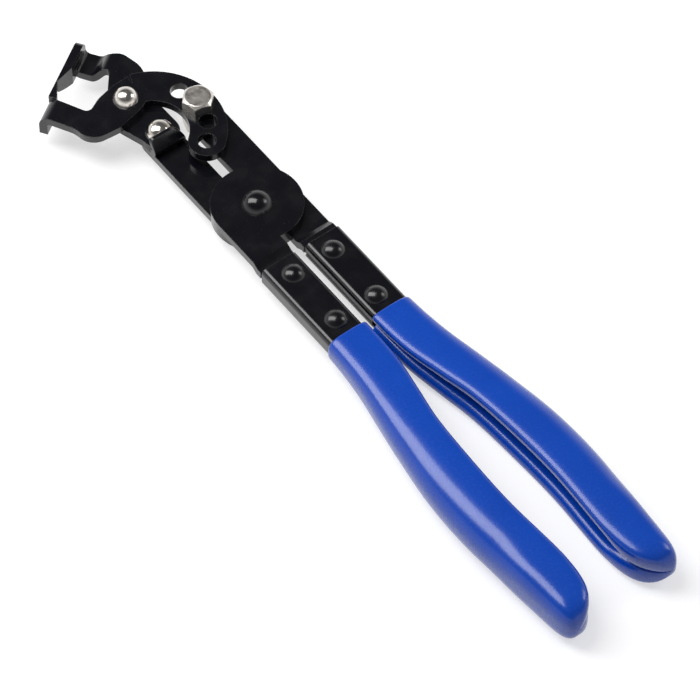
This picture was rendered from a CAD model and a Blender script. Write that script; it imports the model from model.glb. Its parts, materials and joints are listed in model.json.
# %% [markdown]
# Pliers for plastic rivet clips: black levers, a compound head and two grips of blue vinyl.
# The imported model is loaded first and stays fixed. Everything after it is looks: smooth grips,
# paint, plating, a floor, soft light and the camera.

# %% The frame and its box
import json
import math

import bpy
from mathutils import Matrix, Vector


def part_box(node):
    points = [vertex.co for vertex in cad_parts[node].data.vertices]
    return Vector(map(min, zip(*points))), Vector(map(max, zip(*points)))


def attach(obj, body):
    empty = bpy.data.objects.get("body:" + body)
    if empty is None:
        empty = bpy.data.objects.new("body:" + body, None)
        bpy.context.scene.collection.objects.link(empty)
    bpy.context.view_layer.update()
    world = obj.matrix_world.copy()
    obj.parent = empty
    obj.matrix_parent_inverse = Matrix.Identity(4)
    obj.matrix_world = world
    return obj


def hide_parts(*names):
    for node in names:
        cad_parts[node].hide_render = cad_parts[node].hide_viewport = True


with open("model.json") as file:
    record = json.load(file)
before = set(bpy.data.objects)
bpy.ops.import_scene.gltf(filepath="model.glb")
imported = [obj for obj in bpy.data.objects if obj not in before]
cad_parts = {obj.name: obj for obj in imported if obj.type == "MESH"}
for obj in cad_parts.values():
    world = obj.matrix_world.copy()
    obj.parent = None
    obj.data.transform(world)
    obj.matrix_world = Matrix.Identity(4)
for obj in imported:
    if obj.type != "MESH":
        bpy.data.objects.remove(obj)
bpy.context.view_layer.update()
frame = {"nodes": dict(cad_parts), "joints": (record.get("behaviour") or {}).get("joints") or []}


millimetre = 0.001
print("nodes", sorted(frame["nodes"]))

# %% [markdown]
# The joints give fixed points to place things by. The hinge of the handles is the main pivot, and
# the grips, the camera and the lamps are all placed from it, so that they follow the real model.

# %% Places to measure from
main_hinge = [joint for joint in frame["joints"] if joint["name"] == "handles_open"][0]
pivot = Vector(main_hinge["pos_m"])
plate_middle_z = sum(corner.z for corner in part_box("left_channel")) / 2
print("main pivot", [round(value, 4) for value in pivot], "plate middle", round(plate_middle_z, 4))

# %% [markdown]
# A material is a small network of nodes. These helpers keep each finish short: they add a node
# with its settings, join two sockets, give a noise, stretch a value, blend two colours, round the
# edges in the shading only, and make a bump. A noise is read in object space, so that its pattern
# is fixed to the piece and turns with it. The room has nodes too, made with the same helpers.

# %% Helpers for material nodes
bevel_samples = 6


def add_node(material, kind, **settings):
    """A new node of a kind, with its settings or socket values filled in."""
    node = material.node_tree.nodes.new(kind)
    for name, value in settings.items():
        if name in node.inputs:
            node.inputs[name].default_value = value
        else:
            setattr(node, name, value)
    return node


def join(material, source, target):
    """A link from one socket to another."""
    material.node_tree.links.new(source, target)


def noise(material, scale, detail):
    """A noise pattern in object space, with features about one over the scale in metres."""
    coordinates = add_node(material, "ShaderNodeTexCoord")
    pattern = add_node(material, "ShaderNodeTexNoise", Scale=scale, Detail=detail)
    join(material, coordinates.outputs["Object"], pattern.inputs["Vector"])
    return pattern.outputs["Fac"]


def ramp(material, source, span, values, easing="LINEAR"):
    """The source, stretched from its own span into new values."""
    stretch = add_node(material, "ShaderNodeMapRange", interpolation_type=easing)
    for socket, value in zip(("From Min", "From Max", "To Min", "To Max"), (*span, *values)):
        stretch.inputs[socket].default_value = value
    join(material, source, stretch.inputs["Value"])
    return stretch.outputs["Result"]


def blend_colours(material, share, first, second):
    """A colour between two, by a share."""
    colour = add_node(material, "ShaderNodeMix", data_type="RGBA")
    colour.inputs["A"].default_value = first
    colour.inputs["B"].default_value = second
    join(material, share, colour.inputs["Factor"])
    return colour.outputs["Result"]


def rounded_edges(material, radius):
    """The surface's normal as if its edges were rounded by a radius."""
    bevel = add_node(material, "ShaderNodeBevel", Radius=radius, samples=bevel_samples)
    return bevel.outputs["Normal"]


def bump(material, height, distance, strength, normal=None):
    """A bump of a height pattern, laid over another normal if one is given."""
    relief = add_node(material, "ShaderNodeBump", Strength=strength, Distance=distance)
    join(material, height, relief.inputs["Height"])
    if normal is not None:
        join(material, normal, relief.inputs["Normal"])
    return relief.outputs["Normal"]


def new_material(name):
    """A new node material and its main shader."""
    material = bpy.data.materials.new(name)
    material.use_nodes = True
    shader = material.node_tree.nodes["Principled BSDF"]
    return material, shader


print("helpers ready")

# %% [markdown]
# The levers, jaws and channels are sheet steel with a deep gloss black coat. A coat of paint pools
# a little, so its shine varies and its surface has a faint orange peel. Paint draws thin on sharp
# edges, which is why they catch a fine pale line. The Bevel node finds those edges: it turns the
# normal near an edge, and the difference from the flat normal is a mask for the thin paint. The
# values come first: the scale of each noise, the span of it that counts and what that becomes.

# %% Values of the black paint
paint_colour = (0.003, 0.0032, 0.0055, 1)
thin_paint_colour = (0.065, 0.065, 0.075, 1)
paint_edge_width = 0.35 * millimetre
edge_turn_span, edge_values = (0.99, 0.8), (0.0, 1.0)
dust_scale, dust_span, dust_values = 2300.0, (0.74, 0.8), (0.0, 0.5)
chip_scale, chip_span, chip_values = 420.0, (0.42, 0.66), (0.1, 0.9)
pool_scale, pool_span, paint_roughness = 130.0, (0.35, 0.65), (0.16, 0.3)
peel_scale, peel_depth, peel_strength = 900.0, 0.03 * millimetre, 0.35
paint_specular, paint_coat, paint_coat_roughness = 0.4, 0.35, 0.08
print("paint roughness", paint_roughness)

# %% Gloss black paint


def make_black_paint():
    """Gloss black coat with orange peel, dust and thinner paint along the edges."""
    material, shader = new_material("gloss_black_paint")
    rounded = rounded_edges(material, paint_edge_width)
    flat = add_node(material, "ShaderNodeNewGeometry")
    turned = add_node(material, "ShaderNodeVectorMath", operation="DOT_PRODUCT")
    join(material, rounded, turned.inputs[0])
    join(material, flat.outputs["True Normal"], turned.inputs[1])
    edge = ramp(material, turned.outputs["Value"], edge_turn_span, edge_values)
    specks = ramp(material, noise(material, dust_scale, detail=1.0), dust_span, dust_values)
    chips = ramp(material, noise(material, chip_scale, detail=3.0), chip_span, chip_values)
    chipped = add_node(material, "ShaderNodeMath", operation="MULTIPLY")
    join(material, edge, chipped.inputs[0])
    join(material, chips, chipped.inputs[1])
    wear = add_node(material, "ShaderNodeMath", operation="MAXIMUM")
    join(material, chipped.outputs[0], wear.inputs[0])
    join(material, specks, wear.inputs[1])
    colour = blend_colours(material, wear.outputs[0], paint_colour, thin_paint_colour)
    join(material, colour, shader.inputs["Base Color"])
    pools = ramp(material, noise(material, pool_scale, detail=2.0), pool_span, paint_roughness)
    join(material, pools, shader.inputs["Roughness"])
    peel = noise(material, peel_scale, detail=2.0)
    relief = bump(material, peel, peel_depth, peel_strength, rounded)
    join(material, relief, shader.inputs["Normal"])
    shader.inputs["Specular IOR Level"].default_value = paint_specular
    shader.inputs["Coat Weight"].default_value = paint_coat
    shader.inputs["Coat Roughness"].default_value = paint_coat_roughness
    return material


black_paint = make_black_paint()
print("made", black_paint.name)

# %% [markdown]
# The two head rivets are bright nickel plate: a metal with a warm grey colour, fine polishing
# scratches and a few duller patches. Stretching a noise along one axis makes it read as
# scratches. The bolt and its nut come from a plating drum, so they are duller and more dented,
# and their chamfers glint. One function makes both, with the polish as its arguments.

# %% Values of the nickel plate
plate_colour = (0.78, 0.74, 0.69, 1)
stained_plate_colour = (0.5, 0.46, 0.42, 1)
stain_scale, stain_span, stain_values = 480.0, (0.5, 0.72), (0.0, 0.6)
polish_span = (0.35, 0.7)
scratch_scale, scratch_stretch = 5200.0, (1.0, 0.12, 1.0)
scratch_depth, scratch_strength = 0.01 * millimetre, 0.3
dent_scale, dent_strength = 650.0, 0.5
print("scratches of about", round(1 / scratch_scale / millimetre, 2), "mm")

# %% Bright and dull nickel plate


def make_nickel_plate(name, roughness, dent_depth, edge_radius):
    """Plate with fine scratches, duller patches, dents and rounded edges."""
    material, shader = new_material(name)
    shader.inputs["Metallic"].default_value = 1.0
    stain = noise(material, stain_scale, detail=3.0)
    stained = ramp(material, stain, stain_span, stain_values)
    colour = blend_colours(material, stained, plate_colour, stained_plate_colour)
    join(material, colour, shader.inputs["Base Color"])
    join(material, ramp(material, stain, polish_span, roughness), shader.inputs["Roughness"])
    coordinates = add_node(material, "ShaderNodeTexCoord")
    stretch = add_node(material, "ShaderNodeMapping", Scale=scratch_stretch)
    scratches = add_node(material, "ShaderNodeTexNoise", Scale=scratch_scale, Detail=1.0)
    join(material, coordinates.outputs["Object"], stretch.inputs["Vector"])
    join(material, stretch.outputs["Vector"], scratches.inputs["Vector"])
    rounded = rounded_edges(material, edge_radius)
    fine = bump(material, scratches.outputs["Fac"], scratch_depth, scratch_strength, rounded)
    dents = noise(material, dent_scale, detail=1.0)
    relief = bump(material, dents, dent_depth, dent_strength, fine)
    join(material, relief, shader.inputs["Normal"])
    return material


bright_plate = make_nickel_plate(
    "bright_nickel_plate",
    roughness=(0.13, 0.28), dent_depth=0.09 * millimetre, edge_radius=0.3 * millimetre,
)
dull_plate = make_nickel_plate(
    "dull_nickel_plate",
    roughness=(0.27, 0.42), dent_depth=0.2 * millimetre, edge_radius=0.45 * millimetre,
)
print("made", bright_plate.name, "and", dull_plate.name)

# %% [markdown]
# The grips are vinyl that the handles were dipped in: a saturated royal blue under a wet-looking
# skin. The skin is smooth but not perfect: it sags in long soft waves, and holds tiny pits. A
# clear coat over a rougher base gives the streak of light its bright middle and soft borders.

# %% Values of the vinyl
vinyl_blue, vinyl_pale_blue = (0.0015, 0.056, 0.44, 1), (0.0025, 0.074, 0.53, 1)
cloud_scale = 60.0
scuff_scale, scuff_span, vinyl_roughness = 900.0, (0.5, 0.75), (0.26, 0.36)
vinyl_specular, vinyl_coat, vinyl_coat_roughness = 0.32, 0.5, 0.17
wave_scale, wave_depth, wave_strength = 75.0, 0.25 * millimetre, 0.25
pit_scale, pit_span, pit_values = 1100.0, (0.16, 0.24), (0.0, 1.0)
pit_depth, pit_strength = 0.04 * millimetre, 0.3
print("vinyl roughness", vinyl_roughness)

# %% Dipped blue vinyl


def make_blue_vinyl():
    """Dipped vinyl with soft waves, pits and faint scuffs in its shine."""
    material, shader = new_material("dipped_blue_vinyl")
    cloud = noise(material, cloud_scale, detail=2.0)
    colour = blend_colours(material, cloud, vinyl_blue, vinyl_pale_blue)
    join(material, colour, shader.inputs["Base Color"])
    scuff = noise(material, scuff_scale, detail=4.0)
    scuffs = ramp(material, scuff, scuff_span, vinyl_roughness)
    join(material, scuffs, shader.inputs["Roughness"])
    shader.inputs["Specular IOR Level"].default_value = vinyl_specular
    shader.inputs["Coat Weight"].default_value = vinyl_coat
    shader.inputs["Coat Roughness"].default_value = vinyl_coat_roughness
    waves = bump(material, noise(material, wave_scale, detail=1.0), wave_depth, wave_strength)
    pits = ramp(material, noise(material, pit_scale, detail=0.0), pit_span, pit_values)
    relief = bump(material, pits, pit_depth, pit_strength, waves)
    join(material, relief, shader.inputs["Normal"])
    return material


blue_vinyl = make_blue_vinyl()
print("made", blue_vinyl.name)

# %% [markdown]
# Every node of the model gets its finish in its own material slot. The meshes stay as they are,
# only what covers them changes.

# %% Finishes on the model's own pieces
finishes = {
    "jaw_pivot_rivet": bright_plate,
    "link_rivet": bright_plate,
    "angle_bolt": dull_plate,
    "bolt_nut": dull_plate,
    "right_grip": blue_vinyl,
    "left_grip": blue_vinyl,
}
for name, piece in frame["nodes"].items():
    piece.data.materials.clear()
    piece.data.materials.append(finishes.get(name, black_paint))
print("finished", len(frame["nodes"]), "nodes")

# %% [markdown]
# The grips are steel channels dipped in liquid vinyl, so no line on them is sharp and the skin
# follows the channel: flat above and below, round on the outer side, and open on the inner side
# with two soft lips and a deep groove. A subdivided box or a sculpted tube could give that, but a
# skin of rings worked out from a few stations along the handle follows the model exactly, so each
# grip is built that way. These are the stations: how far along, how wide, how high, how open.

# %% Measures of a grip
grip_length = 136.4 * millimetre
grip_start = -62.3 * millimetre
grip_spread = 27.2 * millimetre
grip_height = 17.97 * millimetre
station_shares = (0, 0.07, 0.144, 0.239, 0.341, 0.487, 0.64, 0.823, 0.911)
inner_shares = (0.047, 0.055, 0.083, 0.169, 0.265, 0.32, 0.338, 0.29, 0.294)
outer_shares = (0.632, 0.652, 0.695, 0.783, 0.875, 0.976, 0.995, 0.923, 0.89)
height_shares = (0.63, 0.68, 0.745, 0.83, 0.91, 0.98, 1, 0.985, 0.94)
mouth_shares = (0.14, 0.19, 0.24, 0.3, 0.35, 0.39, 0.4, 0.38, 0.1)
grip_end = grip_start - grip_length
print("grip from", round(grip_start / millimetre, 1), "to", round(grip_end / millimetre, 1), "mm")

# %% Smooth values between the stations


def smooth_between(places, values, place):
    """A value at a place, on a smooth curve through the values at the places."""
    index = 0
    while index < len(places) - 2 and place > places[index + 1]:
        index += 1
    before = max(index - 1, 0)
    after = min(index + 2, len(places) - 1)
    span = places[index + 1] - places[index]
    share = (place - places[index]) / span
    slope_in = (values[index + 1] - values[before]) / (places[index + 1] - places[before]) * span
    slope_out = (values[after] - values[index]) / (places[after] - places[index]) * span
    square = share * share
    cube = square * share
    return (
        (2 * cube - 3 * square + 1) * values[index]
        + (cube - 2 * square + share) * slope_in
        + (3 * square - 2 * cube) * values[index + 1]
        + (cube - square) * slope_out
    )


def along(values, share):
    """A value along the grip: through its stations, then straight on into the tip."""
    reach = min(share, station_shares[-1])
    drift = (values[-1] - values[-2]) / (station_shares[-1] - station_shares[-2])
    return smooth_between(station_shares, values, reach) + drift * (share - reach)


def eased(value, low, high):
    """0 below low, 1 above high, and a smooth rise between."""
    share = min(max((value - low) / (high - low), 0.0), 1.0)
    return share * share * (3 - 2 * share)


print("half way along, the grip reaches", round(along(outer_shares, 0.5), 3), "of its spread")

# %% [markdown]
# The section of the dipped channel is drawn like a letter C. Its corners are superellipses, which
# are ellipses whose sine and cosine are raised to a power: near 1 the corner is round, and near
# 0.5 it is tight. Only the upper half is drawn, and the lower half is its mirror image. Every ring
# has the same number of points in the same order, so the rings can be joined point by point.
# Roundness makes the upper face more domed: at 0 its crest is in the middle of the width, and at
# 1 it is nearer to the inner side, with a long fall to the outer side.

# %% Half a section
crest_place, crest_shift = 0.5, 0.12
outer_power, outer_power_rise = 0.64, 0.16
lip_power = 0.55
round_power = 1
lip_depth_share = 0.6
groove_corner_shares = (0.8, 0.3)
outer_points, lip_points, edge_points, wall_points, corner_points = 20, 20, 8, 4, 5


def arc_points(centre, reach, power, start, end, count):
    """Points on a superellipse corner, between two angles in degrees, without the last one."""
    points = []
    for step in range(count):
        turn = math.radians(start + (end - start) * step / count)
        x = math.copysign(abs(math.cos(turn)) ** power, math.cos(turn))
        z = math.copysign(abs(math.sin(turn)) ** power, math.sin(turn))
        points.append((centre[0] + reach[0] * x, centre[1] + reach[1] * z))
    return points


def upper_section(inner, outer, half_height, mouth, depth, roundness):
    """Points (x, z) from the middle of the outer side, over the top, down into the groove."""
    crest = outer + (crest_place + crest_shift * roundness) * (inner - outer)
    power = outer_power + outer_power_rise * roundness
    lip_z = (half_height + mouth) / 2
    lip_reach = min(lip_z - mouth, lip_depth_share * depth)
    corner = min(groove_corner_shares[0] * mouth, groove_corner_shares[1] * depth)
    back = inner + depth
    wall_start = inner + lip_reach
    wall_end = back - corner
    over_reach = (outer - crest, half_height)
    lip_round = (crest - inner, half_height - lip_z)
    edge_round = (lip_reach, lip_z - mouth)
    points = arc_points((crest, 0), over_reach, power, 0, 90, outer_points)
    points += arc_points((crest, lip_z), lip_round, lip_power, 90, 180, lip_points)
    points += arc_points((wall_start, lip_z), edge_round, round_power, 180, 270, edge_points)
    for step in range(wall_points):
        points.append((wall_start + (wall_end - wall_start) * step / wall_points, mouth))
    groove = (wall_end, mouth - corner)
    points += arc_points(groove, (corner, corner), round_power, 90, 0, corner_points)
    points.append((back, mouth - corner))
    return points


print("half a section has", len(upper_section(0, 1, 0.5, 0.2, 0.6, 1)), "points")

# %% [markdown]
# Near the end the section shrinks to the tip, as dipped vinyl runs to a soft point. The inner side
# starts early and curves across in a long sweep, while the outer side stays straight until the
# last few millimetres, and the height follows. Each line falls by a power of the way into the tip
# and then a root, like the quarter of a circle with a longer or shorter straight. The groove
# closes to a crease there, with the two lips pinched together.

# %% One ring of the grip
tip_start = 0.86
tip_share = 0.9925
tip_place = 0.74
inner_fall, outer_fall, height_fall = (2.6, 0.6), (5.5, 0.5), (6.0, 0.5)
web_cover = 4.4 * millimetre
crease_depth = 3.4 * millimetre
crease_mouth_share = 0.035
closing_span = (0.825, 0.93)
doming_span, flattening_span = (0.05, 0.4), (0.7, 0.82)
flattening = 0.9


def falling(way, fall):
    """From 1 at the start of the tip to 0 at its end, by a power and a root."""
    return (1 - way ** fall[0]) ** fall[1]


def grip_ring(share):
    """The ring of a right grip at a share of its length, as points (x, z)."""
    way = min(max((share - tip_start) / (tip_share - tip_start), 0.0), 1.0)
    full_inner = along(inner_shares, share) * grip_spread
    full_outer = along(outer_shares, share) * grip_spread
    tip_x = full_inner + tip_place * (full_outer - full_inner)
    inner = tip_x + (full_inner - tip_x) * falling(way, inner_fall)
    outer = tip_x + (full_outer - tip_x) * falling(way, outer_fall)
    shallow = falling(way, height_fall)
    full_half_height = along(height_shares, share) * grip_height / 2
    closing = eased(share, *closing_span)
    mouth = along(mouth_shares, min(share, station_shares[-1])) * full_half_height
    mouth = (mouth + (crease_mouth_share * full_half_height - mouth) * closing) * shallow
    open_depth = full_outer - full_inner - web_cover
    narrow = (outer - inner) / (full_outer - full_inner)
    depth = (open_depth + (crease_depth - open_depth) * closing) * narrow
    roundness = eased(share, *doming_span) - flattening * eased(share, *flattening_span)
    upper = upper_section(inner, outer, full_half_height * shallow, mouth, depth, roundness)
    lower = [(x, -z) for x, z in reversed(upper[1:])]
    return upper + lower


def inset(ring, amount):
    """The ring drawn in by an amount, into the thickness of the skin."""
    points = []
    for index, (x, z) in enumerate(ring):
        before, after = ring[index - 1], ring[(index + 1) % len(ring)]
        run = Vector((after[0] - before[0], after[1] - before[1])).normalized()
        points.append((x - run.y * amount, z + run.x * amount))
    return points


print("a ring has", len(grip_ring(0.5)), "points")

# %% [markdown]
# The front of the skin is a small rolled edge that turns down onto the steel: five rings, each
# drawn in a little less than the one before. The tip's rings crowd together where the surface
# turns fastest, and one last point closes them. The rings become a mesh with from_pydata, the
# plain way to make a mesh from lists of points and faces.

# %% Rings from the front edge to the tip
front_edge = ((0, 2.3), (0, 0.5), (0.15, 0.18), (0.45, 0.04), (0.9, 0))
straight_rings = 120
tip_rings = 26


def grip_rows():
    """Rows (y, ring) from the rolled front edge to the tip."""
    rows = []
    for back, drawn_in in front_edge:
        ring = grip_ring(back * millimetre / grip_length)
        rows.append((grip_start - back * millimetre, inset(ring, drawn_in * millimetre)))
    first = front_edge[-1][0] * millimetre / grip_length
    last = station_shares[-1]
    shares = [first + (last - first) * step / straight_rings for step in range(1, straight_rings)]
    for step in range(tip_rings):
        shares.append(last + (tip_share - last) * math.sin(math.radians(90 * step / tip_rings)))
    return rows + [(grip_start - share * grip_length, grip_ring(share)) for share in shares]


print("a grip has", len(grip_rows()), "rings")

# %% The two grips


def make_grip(side, name, body, cad_node):
    """A smooth grip in place of its plain solid. The side is 1 on the right, -1 on the left."""
    offset = Vector((pivot.x, pivot.y, plate_middle_z))
    rows = grip_rows()
    around = len(rows[0][1])
    vertices = [offset + Vector((side * x, y, z)) for y, ring in rows for x, z in ring]
    tip_x = sum(x for x, z in rows[-1][1]) / around
    vertices.append(offset + Vector((side * tip_x, grip_start - tip_share * grip_length, 0)))
    faces = []
    for row in range(len(rows) - 1):
        for index in range(around):
            after = (index + 1) % around
            near, far = row * around, (row + 1) * around
            faces.append((near + index, far + index, far + after, near + after))
    end = (len(rows) - 1) * around
    for index in range(around):
        faces.append((end + index, len(vertices) - 1, end + (index + 1) % around))
    if side > 0:
        faces = [tuple(reversed(face)) for face in faces]
    mesh = bpy.data.meshes.new(name)
    mesh.from_pydata(vertices, [], faces)
    mesh.materials.append(blue_vinyl)
    mesh.polygons.foreach_set("use_smooth", [True] * len(mesh.polygons))
    grip = bpy.data.objects.new(name, mesh)
    bpy.context.scene.collection.objects.link(grip)
    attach(grip, body)
    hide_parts(cad_node)
    return grip


right_skin = make_grip(1, "right_dipped_grip", "right_lever", "right_grip")
left_skin = make_grip(-1, "left_dipped_grip", "left_lever", "left_grip")
print("grips of", len(right_skin.data.vertices), "and", len(left_skin.data.vertices), "points")

# %% [markdown]
# The floor is plain and pale. Seen by the camera or in a reflection it adds a little light of its
# own, so that it reads as white paper, while the light that it throws on the tool stays modest.
# The shadow under the tool stays because the floor is still partly lit by the lamps. Further out
# it turns into plain white, so that it runs into the white room without a line between them.

# %% The floor's material
paper_colour = (0.56, 0.56, 0.57, 1)
white = (1, 1, 1, 1)
paper_glow = 0.58
fade_span = (0.2, 0.55)


def highest(material, first, second):
    """The higher of two values."""
    either = add_node(material, "ShaderNodeMath", operation="MAXIMUM")
    join(material, first, either.inputs[0])
    join(material, second, either.inputs[1])
    return either.outputs[0]


def mix_shaders(material, share, first, second):
    """A shader between two, by a share."""
    mixed = add_node(material, "ShaderNodeMixShader")
    for index, source in enumerate((share, first, second)):
        join(material, source, mixed.inputs[index])
    return mixed.outputs[0]


def make_floor_material():
    """Pale paper that the camera and reflections see as nearly white."""
    material = bpy.data.materials.new("pale_paper")
    material.use_nodes = True
    material.node_tree.nodes.clear()
    paper = add_node(material, "ShaderNodeBsdfDiffuse", Color=paper_colour)
    glow = add_node(material, "ShaderNodeEmission", Color=white, Strength=paper_glow)
    seen = add_node(material, "ShaderNodeAddShader")
    join(material, paper.outputs[0], seen.inputs[0])
    join(material, glow.outputs[0], seen.inputs[1])
    place = add_node(material, "ShaderNodeTexCoord")
    far = add_node(material, "ShaderNodeVectorMath", operation="LENGTH")
    join(material, place.outputs["Object"], far.inputs[0])
    far_share = ramp(material, far.outputs["Value"], fade_span, (0.0, 1.0))
    plain_white = add_node(material, "ShaderNodeEmission", Color=white, Strength=1.0)
    faded = mix_shaders(material, far_share, seen.outputs[0], plain_white.outputs[0])
    path = add_node(material, "ShaderNodeLightPath")
    direct = highest(material, path.outputs["Is Camera Ray"], path.outputs["Is Glossy Ray"])
    any_ray = highest(material, direct, path.outputs["Is Transmission Ray"])
    surface = mix_shaders(material, any_ray, paper.outputs[0], faded)
    output = add_node(material, "ShaderNodeOutputMaterial")
    join(material, surface, output.inputs["Surface"])
    return material


floor_paper = make_floor_material()
print("made", floor_paper.name)

# %% The floor
floor_half = 3.0
corner_signs = ((-1, -1), (1, -1), (1, 1), (-1, 1))
floor_corners = [(x * floor_half, y * floor_half, 0) for x, y in corner_signs]
floor_mesh = bpy.data.meshes.new("studio_floor")
floor_mesh.from_pydata(floor_corners, [], [(0, 1, 2, 3)])
floor_mesh.materials.append(floor_paper)
floor = bpy.data.objects.new("studio_floor", floor_mesh)
bpy.context.scene.collection.objects.link(floor)
print("floor", 2 * floor_half, "m across")

# %% [markdown]
# Gloss black and bright plate show almost nothing but their surroundings, so the studio round the
# tool matters as much as its lamps. One long soft box, high up and a little behind, throws the
# broad streak along the grips, and a small one from the right gives the metal a second highlight.
# Together with the room they light a level surface at about the strength that shows a colour as
# it is written.

# %% Lamps


def add_soft_box(name, direction, distance, width, height, radiance):
    """A rectangular lamp at a direction from the tool, facing it, of a given brightness."""
    lamp = bpy.data.lights.new(name, "AREA")
    lamp.shape = "RECTANGLE"
    lamp.size = width
    lamp.size_y = height
    lamp.energy = radiance * math.pi * width * height
    holder = bpy.data.objects.new(name, lamp)
    bpy.context.scene.collection.objects.link(holder)
    aim = Vector((pivot.x, pivot.y - grip_length / 2, 0))
    holder.location = aim + Vector(direction).normalized() * distance
    holder.rotation_euler = (aim - holder.location).to_track_quat("-Z", "Y").to_euler()
    return holder


long_box = add_soft_box(
    "long_soft_box",
    direction=(-0.3, 0.45, 0.84), distance=0.95, width=0.46, height=0.95, radiance=6.0,
)
side_box = add_soft_box(
    "side_soft_box",
    direction=(0.75, -0.25, 0.6), distance=1.0, width=0.35, height=0.35, radiance=4.0,
)
print("lamps", long_box.name, side_box.name)

# %% [markdown]
# Reflections see the room: white around the tool and dark overhead, which is why the flat tops
# look black while the edges look pale. Dull surfaces get a low even light from it, and the camera
# sees white all round. The Light Path node tells these three apart.

# %% The room around
room_light = 0.25
ceiling_span, ceiling_values = (0.15, 0.62), (1.0, 0.1)
room = bpy.data.worlds.new("studio_world")
bpy.context.scene.world = room
room.use_nodes = True
background = room.node_tree.nodes["Background"]
background.inputs["Color"].default_value = white
direction = add_node(room, "ShaderNodeTexCoord")
split = add_node(room, "ShaderNodeSeparateXYZ")
join(room, direction.outputs["Generated"], split.inputs[0])
ceiling = ramp(room, split.outputs["Z"], ceiling_span, ceiling_values, "SMOOTHSTEP")
ray = add_node(room, "ShaderNodeLightPath")
plain_or_room = add_node(room, "ShaderNodeMix", A=room_light)
join(room, ray.outputs["Is Glossy Ray"], plain_or_room.inputs["Factor"])
join(room, ceiling, plain_or_room.inputs["B"])
seen_white = highest(room, ray.outputs["Is Camera Ray"], ray.outputs["Is Transmission Ray"])
strength = add_node(room, "ShaderNodeMix", B=1.0)
join(room, seen_white, strength.inputs["Factor"])
join(room, plain_or_room.outputs["Result"], strength.inputs["A"])
join(room, strength.outputs["Result"], background.inputs["Strength"])
print("room of", len(room.node_tree.nodes), "nodes")

# %% [markdown]
# The photograph looks down at about 54 degrees from a long way off, with a long lens, so the tool
# hardly tapers. The camera looks at the point of the tool that is in the middle of the picture.

# %% Camera
look_x = -11.1 * millimetre
look_y = -66.6 * millimetre
look_up = 4 * millimetre
view_elevation = math.radians(54)
view_turn = math.radians(52.9)
view_distance = 1.6
pixels_per_metre = 3030
picture_pixels = 700
film_width = 36
far_clip = 20
plate_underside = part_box("right_lever_plate")[0].z
look_at = Vector((pivot.x + look_x, pivot.y + look_y, plate_underside + look_up))
flat_view = Vector((math.cos(view_turn), math.sin(view_turn), 0))
view = flat_view * math.cos(view_elevation) - Vector((0, 0, math.sin(view_elevation)))
camera_data = bpy.data.cameras.new("photo_camera")
camera_data.sensor_width = film_width
camera_data.lens = pixels_per_metre * view_distance / picture_pixels * film_width
camera_data.clip_end = far_clip
camera = bpy.data.objects.new("photo_camera", camera_data)
bpy.context.scene.collection.objects.link(camera)
camera.location = look_at - view * view_distance
camera.rotation_euler = view.to_track_quat("-Z", "Y").to_euler()
bpy.context.scene.camera = camera
bpy.context.scene.view_settings.view_transform = "Standard"
print("lens", round(camera_data.lens, 1), "mm at", view_distance, "m")

# %% Sizes and finish
bpy.context.view_layer.update()
